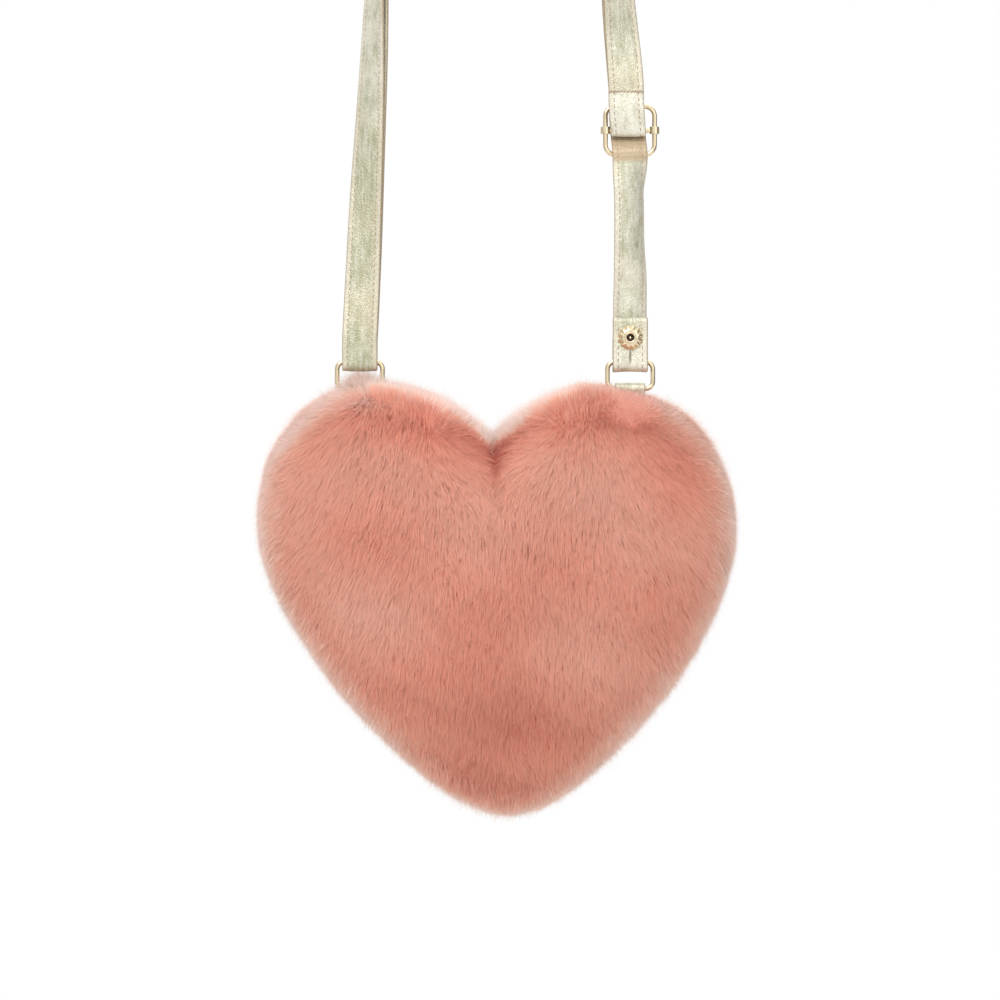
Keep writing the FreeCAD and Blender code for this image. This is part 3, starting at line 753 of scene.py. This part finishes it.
def strap_arch(angles, offset, face):
    """The strap over the arch: a half circle round its centre, the face outward or inward."""
    out = np.stack([np.cos(angles), np.zeros(len(angles)), np.sin(angles)], 1)
    return np.array([0, 0, arch_centre]) + out * (arch_middle + offset), out * face


def strap_profile(x, depth, height, flip):
    """A stretch that keeps to one upright plane: its face is square to its line, on the flip side."""
    line = np.stack([x + np.zeros(len(depth)), depth, ring_axis + height], 1)
    way = unit(np.gradient(line, axis=0))
    return line, np.stack([np.zeros(len(depth)), -way[:, 2], way[:, 1]], 1) * flip


def arc(middle, radius, start, end, count):
    """(depth, height) points on a circle between two angles."""
    angle = np.linspace(start, end, count)
    return middle[0] + radius * np.cos(angle), middle[1] + radius * np.sin(angle)


def tangent_angle(middle, radius, point, side):
    """The angle on a circle where a line from a point touches it, on one side."""
    away = np.array(point) - middle
    return math.atan2(away[1], away[0]) + side * math.acos(radius / np.hypot(*away))


def threaded(height):
    """How far back the tail lies: a squared cosine behind the bar, eased to the ring's back leg."""
    from_bar = (height - buckle_height) / buckle_pitch
    woven = weave_depth * np.cos(np.clip(from_bar, -1, 1) * math.pi / 2) ** 2
    straight = buckle_height - buckle_pitch
    return woven + fold_offset * ease((straight - height) / (straight - tail_start))


bar_middle = (buckle_plane, buckle_height)
knee = buckle_height + 0.8 * buckle_pitch
back_touch = tangent_angle(bar_middle, fold_offset, (-front_ply + strap_thickness, knee), -1)
front_touch = tangent_angle(bar_middle, fold_offset, (-front_ply, knee), 1)
sewn_down = np.linspace(stitch_height, knee, 8)
loop_depth, loop_height = arc(bar_middle, fold_offset, back_touch, front_touch - 2 * math.pi, 28)
sewn_depth = np.concatenate([np.full(8, -front_ply + strap_thickness), loop_depth, np.full(8, -front_ply)])
sewn_height = np.concatenate([sewn_down, loop_height, sewn_down[::-1]])
up = np.linspace(stitch_height, run_height, 80)
left_down = np.linspace(run_height, fold_leg, 140)
over = np.linspace(0, math.pi, 90)
turn_depth, turn_height = arc((0, 0), fold_offset, -math.pi, 0, 22)
leg = np.linspace(fold_leg, -fold_slack, 6)[:-1]
fold_depth = np.concatenate([np.full(5, -fold_offset), turn_depth, np.full(5, fold_offset)])
fold_height = np.concatenate([leg, turn_height - fold_slack, leg[::-1]])
down = np.linspace(stitch_height, tail_start, 110)
ring_leg = np.linspace(tail_start, -fold_slack, 10)[:-1]
tab_leg = np.linspace(-fold_slack, tab_end, 12)[1:]
tail_depth = np.concatenate(
    [threaded(down), np.full(9, fold_offset), turn_depth[::-1], np.full(11, -fold_offset)]
)
tail_height = np.concatenate([down, ring_leg, turn_height[::-1] - fold_slack, tab_leg])
stretches = [
    strap_profile(half_spacing + aside(sewn_height), sewn_depth, sewn_height, 1),
    strap_run(1, up, front_ply, doubled_offset, 1),
    strap_arch(over, doubled_offset, 1),
    strap_run(-1, left_down, fold_offset, doubled_offset, 1),
    strap_profile(-half_spacing, fold_depth, fold_height, -1),
    strap_run(-1, left_down[::-1], -fold_offset, -doubled_offset, -1),
    strap_arch(over[::-1], -doubled_offset, -1),
    strap_run(1, up[::-1], 0.0, -doubled_offset, -1),
    strap_profile(half_spacing + aside(tail_height), tail_depth, tail_height, 1),
]


def joined_path(stretches):
    """Stretches end to end without doubled points: places, faces, edges across and lengths."""
    line = np.concatenate([s[0] for s in stretches])
    out = np.concatenate([s[1] for s in stretches])
    step = np.linalg.norm(np.diff(line, axis=0), axis=1)
    keep = np.concatenate([[True], step > 0.02])
    line, out = line[keep], out[keep]
    way = unit(np.gradient(line, axis=0))
    across = unit(np.cross(out, way))
    length = np.concatenate([[0], np.cumsum(np.linalg.norm(np.diff(line, axis=0), axis=1))])
    return line, unit(np.cross(way, across)), across, way, length


def band(name, path, width, thickness, rows_in, cup=0.0, marks=None):
    """A flat strip along a path, nipped in along its stitch rows.

    Its section is round at the edges and cupped by an angle. Marks are attributes with a value for
    each point of the path.
    """
    length, steps = path[4], 25
    half, edge_radius = width / 2, 0.45 * thickness
    top = half * np.sin(np.linspace(-1, 1, steps) * math.pi / 2 * 0.998)
    rim = np.clip((np.abs(top) - half + edge_radius) / edge_radius, 0, 1)
    nip = 0.17 * np.exp(-(((np.abs(top) - half + rows_in) / 0.45) ** 2))
    lift = thickness / 2 * (1 - nip) * np.sqrt(np.maximum(1 - 0.9 * rim**2, 0.02))
    wide, high = np.concatenate([top, top[::-1]]), np.concatenate([lift, -lift[::-1]])
    grid, _ = on_band(path, cup, wide[None], high[None], half)
    rows, columns = grid.shape[:2]
    ring = np.arange(steps - 1)
    caps = np.stack([ring, ring + 1, columns - 2 - ring, columns - 1 - ring], 1)
    sides = grid_quads(rows, columns).reshape(-1, 4)
    piece = mesh_piece(name, grid, np.concatenate([sides, caps[:, ::-1], caps + (rows - 1) * columns]))
    values = {
        "cut_edge": np.tile(np.concatenate([rim, rim[::-1]]), rows),
        "margin": np.tile(ease((np.abs(wide) - half + rows_in + 0.5) / 0.9), rows),
        **{key: np.repeat(value, columns) for key, value in (marks or {}).items()},
    }
    for key, value in values.items():
        mark(piece.data, key, value)
    lay_flat(piece.data, "strip", np.stack([np.repeat(length, columns), np.tile(wide, rows)], 1) * MM)
    return piece


def on_band(path, cup, wide, high, half):
    """Points on a strip at a width and a height over its line, and which way its face looks there.

    The section is an arc that turns by the cup's angle from the middle to an edge.
    """
    line, out, across = (part[:, None] for part in path[:3])
    angle = np.broadcast_to(cup, len(line))[:, None] * wide / half
    reach = wide * np.sinc(angle / math.pi)
    sag = wide * np.sin(angle / 2) * np.sinc(angle / 2 / math.pi)
    face = out * np.cos(angle)[..., None] + across * np.sin(angle)[..., None]
    return line + across * reach[..., None] - out * sag[..., None] + face * high[..., None], face


line, out, across, way, length = joined_path(stretches)
to_end = length[-1] - length
tail_up = to_end - tab_end - 2 * fold_slack - math.pi * fold_offset
buckle_foot, buckle_shade_foot, buckle_shade_top = 78.0, 73.5, 86.0
below_buckle = ease((buckle_foot - tail_up) / 16)
turned = tail_twist * (ease((tail_up - 16) / 32) * below_buckle)[:, None]
wave = np.sin(length / 23) * np.sin(length / 37 + 1)
strap_path = (
    line,
    out * np.cos(turned) + across * np.sin(turned),
    across * np.cos(turned) - out * np.sin(turned),
    way,
    length,
)
strap_cup = 0.14 * wave - 0.6 * ease((tail_up - 4) / 10) * below_buckle
# Painted sheen: pale patches on the sewn end at the bar, the tab's face, the left strap's shoulder and the
# tail's free stretch, for light caught on the coating.
sewn_end = ease((length - 12) / 4) * ease((40 - length) / 6)
tab_face = ease((21 - to_end) / 3) * ease((to_end - 4) / 6)
bright_low, bright_top, low_left_shade_top = 85.0, 170.0, 95.0
over_ring, on_left = line[:, 2] - ring_axis, line[:, 0] < 0
shoulder = ease((over_ring - bright_low) / 25) * ease((bright_top - over_ring) / 25) * on_left
on_tail = ease((tail_up - 14) / 8) * below_buckle
# Painted shade: the tail inside the buckle and the bottoms of the folds under the rings are tinted tan with
# faint ribs, for the shade there and the warm reflection of the gold.
under = ease((-1.0 - over_ring) / 4.0)
strap_marks = {
    "painted_sheen": np.clip(sewn_end + 0.9 * tab_face + 0.55 * shoulder + 0.4 * on_tail, 0, 1),
    "shade_in_buckle_and_folds": np.clip(ease((tail_up - buckle_shade_foot) / 1.5) * ease((buckle_shade_top - tail_up) / 1.5) + 0.8 * under, 0, 1),
    "creased": ease((to_end - 11) / 2) * ease((tab_end + fold_slack - to_end) / 2),
    # Painted shade: the left strap's lower run takes more dark sage, darker towards the ring.
    "shaded_low_left": ease((low_left_shade_top - over_ring) / 30) * on_left,
}
strap = band("strap", strap_path, strap_width, strap_thickness, seam_inset, strap_cup, strap_marks)
pearl, pearl_shader, _ = material("pearl_leathercloth", coat_weight=0.15, coat_roughness=0.3)
strip = Shade(pearl.node_tree, pearl_shader.outputs[0]).node("ShaderNodeUVMap", {"uv_map": "strip"})
cut, margin, sheen_mask, buckle_fold_shade, creased, low_left_shade = (
    strip.node("ShaderNodeAttribute", {"attribute_name": key}, output=2)
    for key in ("cut_edge", "margin", "painted_sheen", "shade_in_buckle_and_folds", "creased", "shaded_low_left")
)
pebble = strip.node(
    "ShaderNodeTexVoronoi", {"feature": "SMOOTH_F1"}, {"Vector": strip, "Scale": 1500, "Smoothness": 0.6}
)
drawn_out, drawn_far_out = (
    strip.node("ShaderNodeMapping", {}, {"Vector": strip, "Scale": (share, 1.0, 1.0)})
    for share in (0.5, 0.15)
)
cloud, streak = grain(drawn_out, 240, 4.0, 0.7), grain(drawn_far_out, 520, 3.0, 0.65)
haze = grain(strip, 40, 2.0, 0.5)
speck = grain(strip, 1900, 3.0, 0.7)
rib = threads(strip, "X", 0.0017)
aside_of_middle = strip.node("ShaderNodeSeparateXYZ", {}, {0: strip}, "Y")
# The tab's crease: a narrow line down its middle that dents the bump and darkens the colour as painted shade.
fold_line = (1.0 - aside_of_middle.math("ABSOLUTE", aside_of_middle) * 2000.0).clamp() * creased
# Painted shade on the left strap's lower run pulls it towards the dark sage.
pearl_tint = (cloud * 3.6 - 1.3 - low_left_shade * 0.45).clamp().blend(tone(168, 169, 138), tone(212, 210, 188))
for share, colour in (
    ((streak * 4.0 - 1.7).clamp() * 0.5, (232, 230, 216)),
    ((haze * 4.0 - 1.8).clamp() * 0.5, (212, 199, 172)),
    # Painted light and shade: margins outside the stitch rows are lighter than the puffed middle.
    ((margin * 0.7 + (cloud - 0.5) * 0.6).clamp(), (220, 212, 192)),
    # Painted sheen: lighter where the coating catches the light.
    ((sheen_mask * (cloud * 3.6 - 1.1)).clamp(), (238, 235, 220)),
    (((speck - 0.5) * 2.4).clamp(), (160, 152, 122)),
    # Painted shade in tan over the tail inside the buckle and the fold bottoms.
    ((buckle_fold_shade * (1.0 - rib * 0.3)).clamp(), (188, 164, 132)),
    (fold_line * 0.8, (120, 104, 84)),
):
    pearl_tint = share.blend(pearl_tint, tone(*colour))
feed(pearl_shader, base_color=(cut * 0.85).blend(pearl_tint, tone(150, 128, 98)))
feed(pearl_shader, metallic=(0.34 - cut * 0.34 - buckle_fold_shade * 0.2).clamp())
feed(pearl_shader, roughness=(0.30 + speck * 0.2 + cut * 0.3).clamp())
crumple = pebble * 0.5 + cloud * 1.8 + streak * 0.5 + speck * 0.5 - fold_line * 1.5
feed(pearl_shader, normal=bump(crumple, 0.0004, 0.7))
strap_nodes = "strap_front_layer", "strap_back_layer", "strap_left_fold", "strap_bar_fold", "strap_tail"
dress(strap, pearl, "strap", "strap", *strap_nodes)


# Strap stitches
# Tan thread in a lockstitch through both plies, in a row along each edge and on both faces,
# and a thick row across the strap that closes the fold round the buckle's bar.
stitch_pitch, stitch_length, stitch_radius = 2.3, 1.75, 0.17


def stitches(name, middle, out, way, size, radius):
    """Short rounded threads: circles that shrink to nothing at both ends as an ellipse does."""
    rings, sides = 6, 5
    along = np.linspace(-1, 1, rings)
    swell = np.sqrt(np.maximum(1 - along**4, 0.0))
    angle = np.linspace(0, 2 * math.pi, sides, endpoint=False)
    side = np.cross(out, way)
    outward, sideward = (radius * swell[:, None, None] * turn(angle)[:, None] for turn in (np.cos, np.sin))
    ring = out[:, None, None] * outward + side[:, None, None] * sideward
    dip = -0.5 * radius * along**2
    centre = way[:, None] * (along * size / 2)[None, :, None] + out[:, None] * dip[None, :, None]
    grid = middle[:, None, None] + centre[:, :, None] + ring
    first = np.arange(len(middle))[:, None, None] * rings * sides
    dress(mesh_piece(name, grid, first + grid_quads(rings, sides).reshape(-1, 4)), thread, "strap", "strap")


def at_length(path, places):
    """The path's line, faces, edges and direction at lengths along it."""
    read = [np.stack([np.interp(places, path[4], part[:, n]) for n in range(3)], 1) for part in path[:4]]
    return [read[0]] + [unit(part) for part in read[1:]]


thread, thread_shader, thread_place = material("tan_thread", roughness=0.6, sheen_weight=0.2)
twist = grain(thread_place, 1800, 2.0)
feed(thread_shader, base_color=twist.blend(tone(150, 124, 100), tone(204, 184, 158)))
feed(thread_shader, normal=bump(twist, 0.0002, 0.5))
places = np.arange(stitch_pitch, strap_path[4][-1] - 2, stitch_pitch)
seam_path = at_length(strap_path, places)
seam_cup = np.interp(places, strap_path[4], strap_cup)
lifted, row_out = strap_thickness / 2 * 0.9, strap_width / 2 - seam_inset
for name, across_by, lift in (
    ("stitches_outer_left", -row_out, 1), ("stitches_outer_right", row_out, 1),
    ("stitches_inner_left", -row_out, -1), ("stitches_inner_right", row_out, -1),
):
    wide, high = np.array([[across_by]]), np.array([[lift * lifted]])
    spot, face = on_band(seam_path, seam_cup, wide, high, strap_width / 2)
    stitches(name, spot[:, 0], face[:, 0] * lift, seam_path[3], stitch_length, stitch_radius)
row_count, row_half, row_drop, row_slant = 10, 5.9, 1.6, 0.4
row_length, row_radius = 1.6, 0.36
row_height = np.full(row_count, stitch_height - row_drop)
row_x = half_spacing + aside(row_height) + np.linspace(-row_half, row_half, row_count)
row_spot = np.stack([row_x, np.full(row_count, -front_ply - lifted), ring_axis + row_height], 1)
row_face, row_way = (
    np.tile(aim, (row_count, 1))
    for aim in ([0.0, -1.0, 0.0], [math.cos(row_slant), 0.0, math.sin(row_slant)])
)
stitches("stitches_bar_fold", row_spot, row_face, row_way, row_length, row_radius)


# Ring tabs
# Short strips of the strap's leathercloth looped round each ring's lower bar.
# Both ends are sewn down into the seam at the top of a lobe.
tab_width, tab_ply = 11.0, 1.0
tab_radius = wire_radius + 0.2 + tab_ply / 2
tab_wrap, tab_foot, tab_neck, tab_gap = 0.35, -6.0, -2.6, 1.1
tab_turn = np.linspace(-tab_wrap, math.pi + tab_wrap, 26)
tab_low = np.linspace(tab_foot, tab_neck, 5)
tab_leg_depth = np.full(5, tab_gap / 2)
tab_depth = np.concatenate([tab_leg_depth, tab_radius * np.cos(tab_turn), -tab_leg_depth])
tab_height = np.concatenate([tab_low, tab_radius * np.sin(tab_turn), tab_low[::-1]]) + lower_bar - ring_axis
for x, name in ((-half_spacing, "left_ring_tab"), (half_spacing, "right_ring_tab")):
    tab_path = joined_path([strap_profile(x, tab_depth, tab_height, 1)])
    tab = band(name + "_loop", tab_path, tab_width, tab_ply, 1.5)
    dress(tab, pearl, "purse", "strap", name)


# Rings, buckle and rivet
# Round steel wire bent and brazed into rings and a slide frame, the frame with a loose middle bar,
# all polished and plated pale gold. A tubular rivet goes through the strap's end, its mouth rolled
# over a domed washer with pressed petals.
rivet_rise, rivet_seat, rivet_head, spin_steps = 8.9, fold_radius + strap_thickness, 3.95, 96
washer_hole, washer_edge, washer_petals = 1.95, 4.6, 12
spin = np.linspace(0, 2 * math.pi, spin_steps, endpoint=False)


def turned_piece(name, radius, depth, wrap):
    """A profile spun round the rivet's axis: rows of radius and depth over a full turn."""
    x = half_spacing + radius * np.cos(spin)
    z = ring_axis + rivet_rise + radius * np.sin(spin)
    grid = np.stack([x, depth + np.zeros_like(radius), z], -1)
    return mesh_piece(name, grid, grid_quads(*radius.shape, wrap_rows=wrap))


rivet_profile = np.array(
    [
        (0.0, 0.8), (2.2, 0.8), (3.3, 0.7), (3.8, 0.45), (rivet_head, 0.2), (rivet_head, 0.03), (1.6, 0.02),
        (1.55, -0.1), (1.55, -6.3), (1.75, -6.55), (2.05, -6.65), (2.12, -6.75), (1.95, -6.82), (1.65, -6.8),
        (1.42, -6.65), (1.32, -6.3), (1.30, -5.3), (1.1, -5.1), (0.75, -5.1), (0.55, -5.25), (0.3, -5.4),
        (0.0, -5.42),
    ]
)
rivet_radius = np.repeat(rivet_profile[:, :1], spin_steps, 1)
rivet_depth = rivet_seat + rivet_profile[:, 1:]
rivet = turned_piece("rivet_rolled", rivet_radius, rivet_depth, False)
in_bore = (rivet_profile[:, 0] < 1.4) & (rivet_profile[:, 0] > 0.6) & (rivet_profile[:, 1] < -2)
mark(rivet.data, "bore", np.repeat(in_bore, spin_steps))
share = np.linspace(0, 1, 16)[:, None]
petal = (0.5 + 0.5 * np.cos(washer_petals * spin))[None] ** 3
face_radius = washer_hole + (washer_edge - washer_hole) * share
face_radius = face_radius * (1 - 0.06 * petal * ease((share - 0.6) / 0.4))
face_rise = (0.4 + 1.5 * (1 - share**2) ** 0.8) * (1 - 0.5 * petal * ease((share - 0.35) / 0.35))
washer_radius = np.concatenate([face_radius, face_radius[-1:], np.full((1, spin_steps), washer_hole)])
washer_depth = np.concatenate([-rivet_seat - face_rise, np.full((2, spin_steps), -rivet_seat - 0.02)])
washer = turned_piece("rivet_washer_petals", washer_radius, washer_depth, True)
gold, gold_shader, gold_place = material("pale_gold_plate")
smear = grain(gold_place, 240, 3.0, 0.6)
# Painted shade: the inside of the rivet's bore is dark brown for the shade in the hollow; it is also less
# metallic and rougher.
bore = gold_place.node("ShaderNodeAttribute", {"attribute_name": "bore"}, output=2)
plating = smear.blend(tone(220, 200, 162), tone(240, 226, 196))
feed(gold_shader, base_color=bore.blend(plating, tone(62, 40, 28)))
feed(gold_shader, metallic=1 - bore * 0.5, roughness=0.12 + smear * 0.14 + bore * 0.3)
feed(gold_shader, normal=bump(grain(gold_place, 900, 2.0), 0.00008, 0.25))
for piece, node in ((rivet, "rivet"), (washer, "rivet_washer")):
    dress(piece, gold, "strap", "gold", node)


def plate(*names):
    """Shows solids as they are, in pale gold."""
    for name in names:
        solids[name].data.materials.clear()
        solids[name].data.materials.append(gold)


plate("left_ring", "right_ring", "buckle_frame", "buckle_bar")


# Zip
# A metal zip across the back: two woven tapes sewn behind the fur's turned edges, a row of teeth on
# each, clips at the ends, and a cast slider with a frame shaped pull. All metal is the same pale gold.
tape_width, tape_thickness, tape_edge, tape_sunk, tape_points = 12.0, 0.7, 1.4, 7.0, 61
tape_plane = back_depth - tape_sunk - tape_thickness / 2
tape, tape_shader, _ = material("pink_zip_tape", roughness=0.85, sheen_weight=0.2)
woven = Shade(tape.node_tree, tape_shader.outputs[0]).node("ShaderNodeUVMap", {"uv_map": "strip"})
herringbone = threads(woven, "X", 0.0008) * 0.55 + threads(woven, "DIAGONAL", 0.0011) * 0.45
feed(tape_shader, base_color=herringbone.blend(tone(172, 100, 90), tone(208, 140, 126)))
feed(tape_shader, normal=bump(herringbone, 0.0002, 0.7))
tape_x = np.linspace(-slot_half_length, slot_half_length, tape_points)
tape_face = np.tile([0.0, 1.0, 0.0], (tape_points, 1))
for name, side in (("zip_tape_upper", 1), ("zip_tape_lower", -1)):
    height = heart_level + zip_level + side * (tape_edge + tape_width / 2)
    tape_line = np.stack([tape_x, np.full(tape_points, tape_plane), np.full(tape_points, height)], 1)
    tape_path = joined_path([(tape_line, tape_face)])
    weave = band(name + "_weave", tape_path, tape_width, tape_thickness, 2.4)
    dress(weave, tape, "purse", "zip_tape", name)
plate("zip_teeth_upper", "zip_teeth_lower", "zip_top_stops", "zip_bottom_stop", "zip_slider", "zip_pull")


# Studio
# The purse hangs in front of a white ground over a pale floor, in soft even light from above.
# The camera looks straight at the heart along +Y from a metre and a half away.
frame_width, camera_distance, sensor = 0.370, 1.5, 36.0
view_x, view_z = 0.00185, -0.29856
camera = bpy.data.objects.new("camera", bpy.data.cameras.new("camera"))
camera.data.sensor_width = sensor
camera.data.lens = sensor * camera_distance / frame_width
camera.location = (view_x, -camera_distance, view_z)
camera.rotation_euler = (math.pi / 2, 0, 0)
camera.data.clip_start, camera.data.clip_end = 0.05, 20.0
bpy.context.scene.collection.objects.link(camera)
bpy.context.scene.camera = camera

floor_half, floor_level = 800, -620
floor_sides = ((-1, -1), (1, -1), (1, 1), (-1, 1))
floor_corners = [(x * floor_half, y * floor_half, floor_level) for x, y in floor_sides]
ground = mesh_piece("floor", floor_corners, [(0, 1, 2, 3)])
pale, pale_shader, pale_place = material("pale_floor", roughness=0.8)
feed(pale_shader, base_color=grain(pale_place, 3).blend(tone(238, 237, 235), tone(246, 245, 243)))
ground.data.materials.append(pale)
ground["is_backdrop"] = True

world = bpy.data.worlds.new("studio")
bpy.context.scene.world = world
world.use_nodes = True
sky = Shade(world.node_tree, world.node_tree.nodes["Background"].outputs[0])
rays = sky.node("ShaderNodeLightPath").socket.node.outputs
camera_ray, glossy_ray, clear_ray = (
    Shade(world.node_tree, rays[f"Is {kind} Ray"]) for kind in ("Camera", "Glossy", "Transmission")
)
seen = (camera_ray + glossy_ray + clear_ray).clamp()
aim = sky.node("ShaderNodeSeparateXYZ", {}, {0: sky.node("ShaderNodeTexCoord")}, "X")
beside = (((aim - 0.45) / 0.4).clamp() + ((-0.45 - aim) / 0.4).clamp() * 0.5) * glossy_ray
background = world.node_tree.nodes["Background"]
background.inputs["Color"].default_value = (1, 1, 1, 1)
world.node_tree.links.new((0.68 + seen * 0.32 - beside * 0.7).socket, background.inputs["Strength"])


def softbox(name, place, aim, size, watts):
    """A square area light turned towards a point."""
    lamp = bpy.data.objects.new(name, bpy.data.lights.new(name, "AREA"))
    lamp.data.size, lamp.data.energy = size, watts
    lamp.location = place
    way = (np.array(aim) - place) / np.linalg.norm(np.array(aim) - place)
    lamp.rotation_euler = (math.acos(-way[2]), 0, math.atan2(way[1], way[0]) - math.pi / 2)
    bpy.context.scene.collection.objects.link(lamp)


heart_place = (0, 0, -0.3)
softbox("key_light", (-0.5, -1.1, 0.85), heart_place, 0.9, 15.0)
softbox("fill_light", (0.9, -1.2, 0.3), heart_place, 0.9, 3.0)
softbox("top_light", (0.1, 0.35, 0.9), heart_place, 1.6, 6.0)
bpy.context.scene.view_settings.view_transform = "Standard"

low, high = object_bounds()
